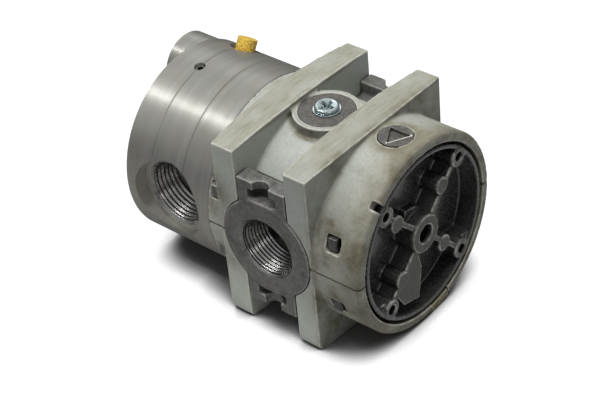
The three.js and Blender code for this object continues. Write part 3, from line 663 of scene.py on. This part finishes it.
def make_body():
    outlet, inlet = MOUNTS["outlet_port_face"].y, MOUNTS["inlet_port_face"].y
    reach = INLINE_THREAD["length"]
    skin = copy_of("valve_body")
    cutters = [
        bar(INLINE_THREAD["mouth"], outlet - 1, outlet + reach, "y"),
        bar(INLINE_THREAD["mouth"], inlet - reach, inlet + 1, "y"),
    ]
    boolean(skin, cutters)
    soften(skin, 0.42, 2)
    true_up(skin, "y", (INLINE_THREAD["mouth"], PORT_FLANGE["radius"]))
    x, y, z = vertices_mm(skin).T
    on_face = smoothstep(inlet - 0.4, inlet - 0.2, np.abs(y))
    store(skin, "faced", on_face * (np.hypot(x, z) < PORT_FLANGE["faced"]))
    finish_piece(shade(skin), "valve_body", MATERIALS["diecast"])
    thread_liner("outlet_thread", INLINE_THREAD, outlet, -1, 0, CAST_THREAD)
    thread_liner("inlet_thread", INLINE_THREAD, inlet, 1, 0, CAST_THREAD)


# ---------------------------------------------------------------- end cover

def trim_tongues(skin):
    """Frees the tongues from the ends of the hood's windows, so that a dark gap shows beside each."""
    rear, front = HOOD_TONGUE["rear"], HOOD_TONGUE["front"]
    ends = (
        (front - HOOD_TONGUE["front_gap"], front + 1),
        (rear - 1, rear + HOOD_TONGUE["rear_gap"]),
    )
    faces = [(0, 1, 3, 2), (4, 6, 7, 5), (0, 4, 5, 1), (2, 3, 7, 6), (0, 2, 6, 4), (1, 5, 7, 3)]
    cutters = []
    for side in (-1, 1):
        for level in (-1, 1):
            for end in ends:
                corners = [
                    (x, side * y, level * z)
                    for x in end for y in HOOD_TONGUE_Y for z in HOOD_TONGUE_Z
                ]
                cutter = object_from("gap", corners, faces)
                welded(cutter.data)
                cutters.append(cutter)
    return boolean(skin, cutters)


def make_end_cover():
    skin = soften(trim_tongues(copy_of("end_cover")), 0.34, 4)
    top = box_mm("end_cover")[1].x
    x, y, z = vertices_mm(skin).T
    inside = 1 - smoothstep(25.5, 26.5, np.hypot(y, z))
    store(skin, "inside", inside)
    store(skin, "top", inside * smoothstep(top - 1.6, top - 0.6, x))
    finish_piece(shade(skin), "end_cover", MATERIALS["dark_cast"])


# ---------------------------------------------------------------- aluminium head

def screw_places():
    angles = [math.radians(degrees) for degrees in SCREWS["angles"]]
    return [(0, SCREWS["circle"] * math.cos(angle), SCREWS["circle"] * math.sin(angle)) for angle in angles]


def head_cutters():
    """Everything bored through the head's stacked sections."""
    port = MOUNTS["exhaust_port_face"]
    above = HEAD["radius"] + 4
    cutters = [
        bar(EXHAUST_THREAD["mouth"], port.y - 1, port.y + EXHAUST_THREAD["length"], "y", (port.x, 0, 0)),
        bar(EXHAUST_SPOTFACE, port.y - 9, port.y, "y", (port.x, 0, 0)),
        spoke(BREATHER["spotface"], BREATHER["seat"], above, BREATHER["x"], BREATHER["angle"]),
        spoke(BREATHER["bore"], 12, above, BREATHER["x"], BREATHER["angle"]),
        spoke(PIN_HOLE["radius"], PIN_HOLE["foot"], above, PIN_HOLE["x"], PIN_HOLE["angle"]),
    ]
    front = box_mm("adapter_flange")[1].x + 1
    rear = box_mm("rear_cap")[0].x - 1
    cutters += [bar(SCREWS["clear"], rear, front, "x", place, FINE // 4) for place in screw_places()]
    return cutters


def section_profile(rear, front, bore, edge):
    """A section's outline with its broken edges, from its rear face to its front face."""
    radius, corner = HEAD["radius"], HEAD["front_edge"]
    front = front + HEAD["reach"]
    return [
        (rear, bore),
        (rear, radius - edge),
        (rear + edge, radius),
        (front - corner, radius),
        (front, radius - corner),
        (front, bore),
    ]


def add_rear_boss(skin, rear_face):
    """Joins the eccentric boss to the rear section, and returns the cutter for its port."""
    end = MOUNTS["rear_boss_face"].x
    place = (0, REAR_BOSS["offset"], REAR_BOSS["offset"])
    radius, edge = REAR_BOSS["radius"], REAR_BOSS["edge"]
    root = rear_face + 1
    profile = [(end, 0), (end, radius - edge), (end + edge, radius), (root, radius), (root, 0)]
    boolean(skin, [turned("boss", profile, None, "x", place)], "UNION")
    return bar(REAR_BOSS["bore"], end - 1, end + REAR_BOSS["depth"], "x", place, FINE // 2)


def make_head():
    for node in ("adapter_flange", "middle_ring"):
        low, high = box_mm(node)
        profile = section_profile(low.x, high.x, HEAD["bore"], HEAD["joint_edge"])
        skin = boolean(turned(node + "_skin", profile), head_cutters())
        finish_piece(shade(skin, 25), node, MATERIALS["turned_aluminium"])

    rear_face = MOUNTS["rear_face"].x
    front = box_mm("rear_cap")[1].x
    skin = turned("rear_cap_skin", section_profile(rear_face, front, 0, HEAD["rear_edge"]))
    cutters = head_cutters()
    cutters.append(add_rear_boss(skin, rear_face))
    cutters.append(bar(HEAD["bore"], rear_face + REAR_WALL, front + 1, "x"))
    for place in screw_places():
        end = rear_face + SCREWS["depth"]
        cutters.append(bar(SCREWS["counterbore"], rear_face - 1, end, "x", place, FINE // 3))
    boolean(skin, cutters)
    finish_piece(shade(skin, 25), "rear_cap", MATERIALS["turned_aluminium"])

    port = MOUNTS["exhaust_port_face"]
    thread_liner("exhaust_thread", EXHAUST_THREAD, port.y, -1, port.x, TURNED_THREAD)


def make_breather():
    """A plug of sintered grains."""
    skin = soften(copy_of("breather"), 0.13, 1)
    points = vertices_mm(skin)
    grains = np.array([noise.voronoi(Vector(p) / 0.55)[0][0] for p in points])
    rough = noise_field(points, 1.1, 3, 5.0)
    lift = 0.10 * (0.45 - grains) + 0.05 * rough - 0.05
    place_vertices_mm(skin, points + normals_of(skin) * lift[:, None])
    finish_piece(shade(skin), "breather", MATERIALS["sintered_bronze"])


# ---------------------------------------------------------------- small pieces

def make_gauge_screw():
    """A low pan head with a deep cross recess."""
    low, high = box_mm("gauge_port_screw")
    radius = (high.x - low.x) / 2
    shank = 1.9
    seat = box_mm("gauge_port_washer")[1].z + 0.05
    top = high.z
    profile = [
        (low.z, 0),
        (low.z, shank - 0.4),
        (low.z + 0.4, shank),
        (seat, shank),
        (seat, radius - 0.1),
        (seat + 0.15, radius),
        (top - 0.5, radius),
        (top - 0.22, radius - 0.16),
        (top - 0.05, radius - 0.5),
        (top, radius - 0.9),
        (top - 0.12, radius - 1.3),
        (top - 0.12, 0),
    ]
    skin = turned("gauge_port_screw_skin", profile, None, "z")
    corners = ((-1, -1), (1, -1), (1, 1), (-1, 1))
    blade_ends = ((3.5, 0.85, top + 0.6), (1.4, 0.35, top - 1.8))
    blade = [(length * a, width * b, level) for length, width, level in blade_ends for a, b in corners]
    faces = [(0, 1, 2, 3), (7, 6, 5, 4), (0, 4, 5, 1), (1, 5, 6, 2), (2, 6, 7, 3), (3, 7, 4, 0)]
    blades = []
    for degrees in (-8, 82):
        turn = Matrix.Rotation(math.radians(degrees), 3, "Z")
        cutter = object_from("blade", [turn @ Vector(p) for p in blade], faces)
        welded(cutter.data)
        blades.append(cutter)
    boolean(skin, blades)
    bevel = skin.modifiers.new("bevel", "BEVEL")
    bevel.width = 0.06 * MM
    bevel.segments = 2
    bevel.limit_method = "ANGLE"
    bevel.angle_limit = math.radians(40)
    apply_modifiers(skin)
    finish_piece(shade(skin, 40), "gauge_port_screw", SCREW_ZINC)


def paint_arrow_highlight(skin):
    """Marks a painted highlight along the near edge of the arrow's recess."""
    low, high = box_mm("flow_arrow_disc")
    middle = (low + high) / 2
    x, y, z = vertices_mm(skin).T
    start = np.array(ARROW_POINT) + (middle.x, 0)
    end = np.array(ARROW_CORNER) + (middle.x, 0)
    length = np.linalg.norm(end - start)
    along = (end - start) / length
    off = np.stack([x, y], 1) - start
    travel = np.clip(off @ along, 0, length)
    away = np.linalg.norm(off - travel[:, None] * along, axis=1)
    store(skin, "arrow_highlight", (1 - smoothstep(0.2, 0.45, away)) * smoothstep(high.z - 0.5, high.z - 0.25, z))


def make_lock_pin():
    """A rolled pin: a short tube in the radial hole."""
    top, foot, outer, inner = PIN["top"], PIN["foot"], PIN["outer"], PIN["inner"]
    profile = [
        (foot, inner),
        (foot, outer),
        (top - 0.25, outer),
        (top - 0.05, outer - 0.18),
        (top, outer - 0.35),
        (top - 0.1, inner + 0.05),
        (top - 0.3, inner),
    ]
    skin = turned("lock_pin_skin", profile, FINE // 3, "z")
    lean = Matrix.Rotation(math.radians(-PIN_HOLE["angle"]), 4, "X")
    skin.data.transform(Matrix.Translation((PIN_HOLE["x"] * MM, 0, 0)) @ lean)
    finish_piece(shade(skin, 40), "lock_pin", MATERIALS["steel"])


def make_small_pieces():
    """Rounds the small nodes: the voxel in millimetres, the smoothing passes and a material of their own."""
    fineness = {
        "gauge_port_cover": (0.16, 2, OILED_DIECAST),
        "gauge_port_washer": (0.09, 2, None),
        "flow_arrow_disc": (0.12, 2, OILED_DIECAST),
        "latch_tab": (0.11, 5, None),
        "head_screw_a": (0.16, 1, None),
        "head_screw_b": (0.16, 1, None),
        "head_screw_c": (0.16, 1, None),
    }
    for node, (voxel, passes, material) in fineness.items():
        skin = soften(copy_of(node), voxel, passes)
        if node == "flow_arrow_disc":
            paint_arrow_highlight(skin)
        finish_piece(shade(skin), node, material or MATERIALS[SLOT_OF[node]])
    make_gauge_screw()
    make_lock_pin()


def dress_nodes():
    """Gives every node its material; the ones that no piece stands for keep showing."""
    for node, obj in NODES.items():
        obj.data.materials.clear()
        obj.data.materials.append(MATERIALS[SLOT_OF[node]])
        shade(obj, 30)


# ---------------------------------------------------------------- stage, lights and camera

def make_stage():
    """A pale floor that glows white away from the object, with a painted contact shadow around it and its
    faint real shadow.
    """
    level = cad_box[0].z
    reach = 4.0
    corners = [(-reach, -reach, level), (reach, -reach, level), (reach, reach, level), (-reach, reach, level)]
    floor = add_object("floor", bpy.data.meshes.new("floor"))
    floor.data.from_pydata(corners, [], [(0, 1, 2, 3)])
    s = Shader("floor")
    rays = s.node("ShaderNodeLightPath").outputs
    seen = rays["Is Camera Ray"]
    pale = s.mix(s.noise(60), (0.14, 0.14, 0.14), (0.16, 0.16, 0.16))
    bounced = s.mix(rays["Is Glossy Ray"], (0.48, 0.48, 0.475), (0.16, 0.16, 0.16))
    s.set(Base_Color=s.mix(seen, bounced, pale), Roughness=0.8, Specular_IOR_Level=0.1)
    # Painted contact shadow: the floor's white glow fades out where the object stands close, from the ambient
    # occlusion.
    glow = s.ramp(s.crevice(18, 16), 0.22, 0.62, 0.93, 0.0)
    s.set(Emission_Color=(1.0, 1.0, 1.0, 1.0), Emission_Strength=s.math("MULTIPLY", seen, glow))
    floor.data.materials.append(s.material)


def make_world():
    """White behind the object, and a dim room with a brighter ceiling for light and reflections."""
    world = bpy.data.worlds.new("studio")
    world.use_nodes = True
    tree = world.node_tree
    room = tree.nodes["Background"]
    seen = tree.nodes.new("ShaderNodeLightPath")
    coords = tree.nodes.new("ShaderNodeTexCoord")
    split = tree.nodes.new("ShaderNodeSeparateXYZ")
    tree.links.new(coords.outputs["Generated"], split.inputs[0])
    ramp = tree.nodes.new("ShaderNodeMapRange")
    ramp.interpolation_type = "SMOOTHSTEP"
    tree.links.new(split.outputs["Z"], ramp.inputs["Value"])
    for name, value in (("From Min", -0.1), ("From Max", 1.0), ("To Min", 0.05), ("To Max", 0.34)):
        ramp.inputs[name].default_value = value
    shine = tree.nodes.new("ShaderNodeMath")
    shine.operation = "MULTIPLY_ADD"
    tree.links.new(seen.outputs["Is Glossy Ray"], shine.inputs[0])
    shine.inputs[1].default_value = 0.9
    shine.inputs[2].default_value = 1.0
    strength = tree.nodes.new("ShaderNodeMath")
    strength.operation = "MULTIPLY"
    tree.links.new(ramp.outputs["Result"], strength.inputs[0])
    tree.links.new(shine.outputs[0], strength.inputs[1])
    tree.links.new(strength.outputs[0], room.inputs["Strength"])
    room.inputs["Color"].default_value = (0.97, 0.99, 1.0, 1)
    white = tree.nodes.new("ShaderNodeBackground")
    choose = tree.nodes.new("ShaderNodeMixShader")
    tree.links.new(seen.outputs["Is Camera Ray"], choose.inputs[0])
    tree.links.new(room.outputs[0], choose.inputs[1])
    tree.links.new(white.outputs[0], choose.inputs[2])
    tree.links.new(choose.outputs[0], tree.nodes["World Output"].inputs[0])
    bpy.context.scene.world = world


def area_light(name, place, target, size, power, shines, lights=True):
    """A rectangle whose first side runs along the main axis; it may shine, light surfaces, or both."""
    light = bpy.data.lights.new(name, "AREA")
    light.shape = "RECTANGLE"
    light.size, light.size_y = size
    light.energy = power
    obj = bpy.data.objects.new(name, light)
    behind = (place - target).normalized()
    along = (Vector((1, 0, 0)) - behind * behind.x).normalized()
    turn = Matrix((along, behind.cross(along), behind)).transposed().to_4x4()
    obj.matrix_world = Matrix.Translation(place) @ turn
    obj.visible_glossy = shines
    obj.visible_diffuse = lights
    obj.visible_camera = False
    bpy.context.scene.collection.objects.link(obj)


def make_lights():
    """Two broad lights from above, and cards that only give reflections; in metres and watts."""
    middle = (Vector(cad_box[0]) + Vector(cad_box[1])) / 2
    area_light("key", middle + Vector((0.08, -0.03, 0.66)), middle, (0.3, 0.25), 3.5, False)
    area_light("ceiling", middle + Vector((0.0, -0.05, 0.75)), middle, (0.5, 0.6), 2.8, False)
    area_light("strip", middle + Vector((-0.22, -0.231, 0.557)), middle, (0.5, 0.03), 1.0, True)
    area_light("card", middle + Vector((-0.33, 0.345, 0.365)), middle, (0.2, 0.2), 0.12, True)
    front = Vector((cad_box[1].x + 0.055, 0.03, cad_box[0].z + 0.002))
    area_light("table_card", front, front + Vector((0, 0, 1)), (0.12, 0.14), 0.014, True, False)
    area_light("front", middle + Vector((0.49, -0.24, 0.22)), middle, (0.16, 0.16), 0.22, True, False)
    foot = Vector((middle.x, -0.072, cad_box[0].z + 0.006))
    area_light("low_fill", foot, foot + Vector((0, 1.0, 0.05)), (0.1, 0.01), 0.008, False)


# The camera that the object was seen from: where it looks, from which side, and how it is held.
CAMERA = {"azimuth": 43.49, "elevation": 37.47, "roll": -5.86, "distance": 506.95, "lens": 103.47}
CAMERA_TARGET = (13.61, -30.33, 22.90)  # in millimetres, from the port axis


def make_camera():
    azimuth, elevation, roll = (math.radians(CAMERA[k]) for k in ("azimuth", "elevation", "roll"))
    flat = math.cos(elevation)
    back = Vector((math.sin(azimuth) * flat, -math.cos(azimuth) * flat, math.sin(elevation)))
    right = Vector((math.cos(azimuth), math.sin(azimuth), 0))
    up = back.cross(right)
    across = math.cos(roll) * right + math.sin(roll) * up
    upright = math.cos(roll) * up - math.sin(roll) * right
    place = (PORT_AXIS + Vector(CAMERA_TARGET) + back * CAMERA["distance"]) * MM
    camera = bpy.data.objects.new("camera", bpy.data.cameras.new("camera"))
    camera.data.lens = CAMERA["lens"]
    camera.data.clip_start = 0.01
    turn = Matrix((across, upright, back)).transposed().to_4x4()
    camera.matrix_world = Matrix.Translation(place) @ turn
    bpy.context.scene.collection.objects.link(camera)
    bpy.context.scene.camera = camera


bpy.context.scene.view_settings.view_transform = "Standard"
dress_nodes()
make_casing()
make_body()
make_end_cover()
make_head()
make_breather()
make_small_pieces()
make_stage()
make_world()
make_lights()
make_camera()
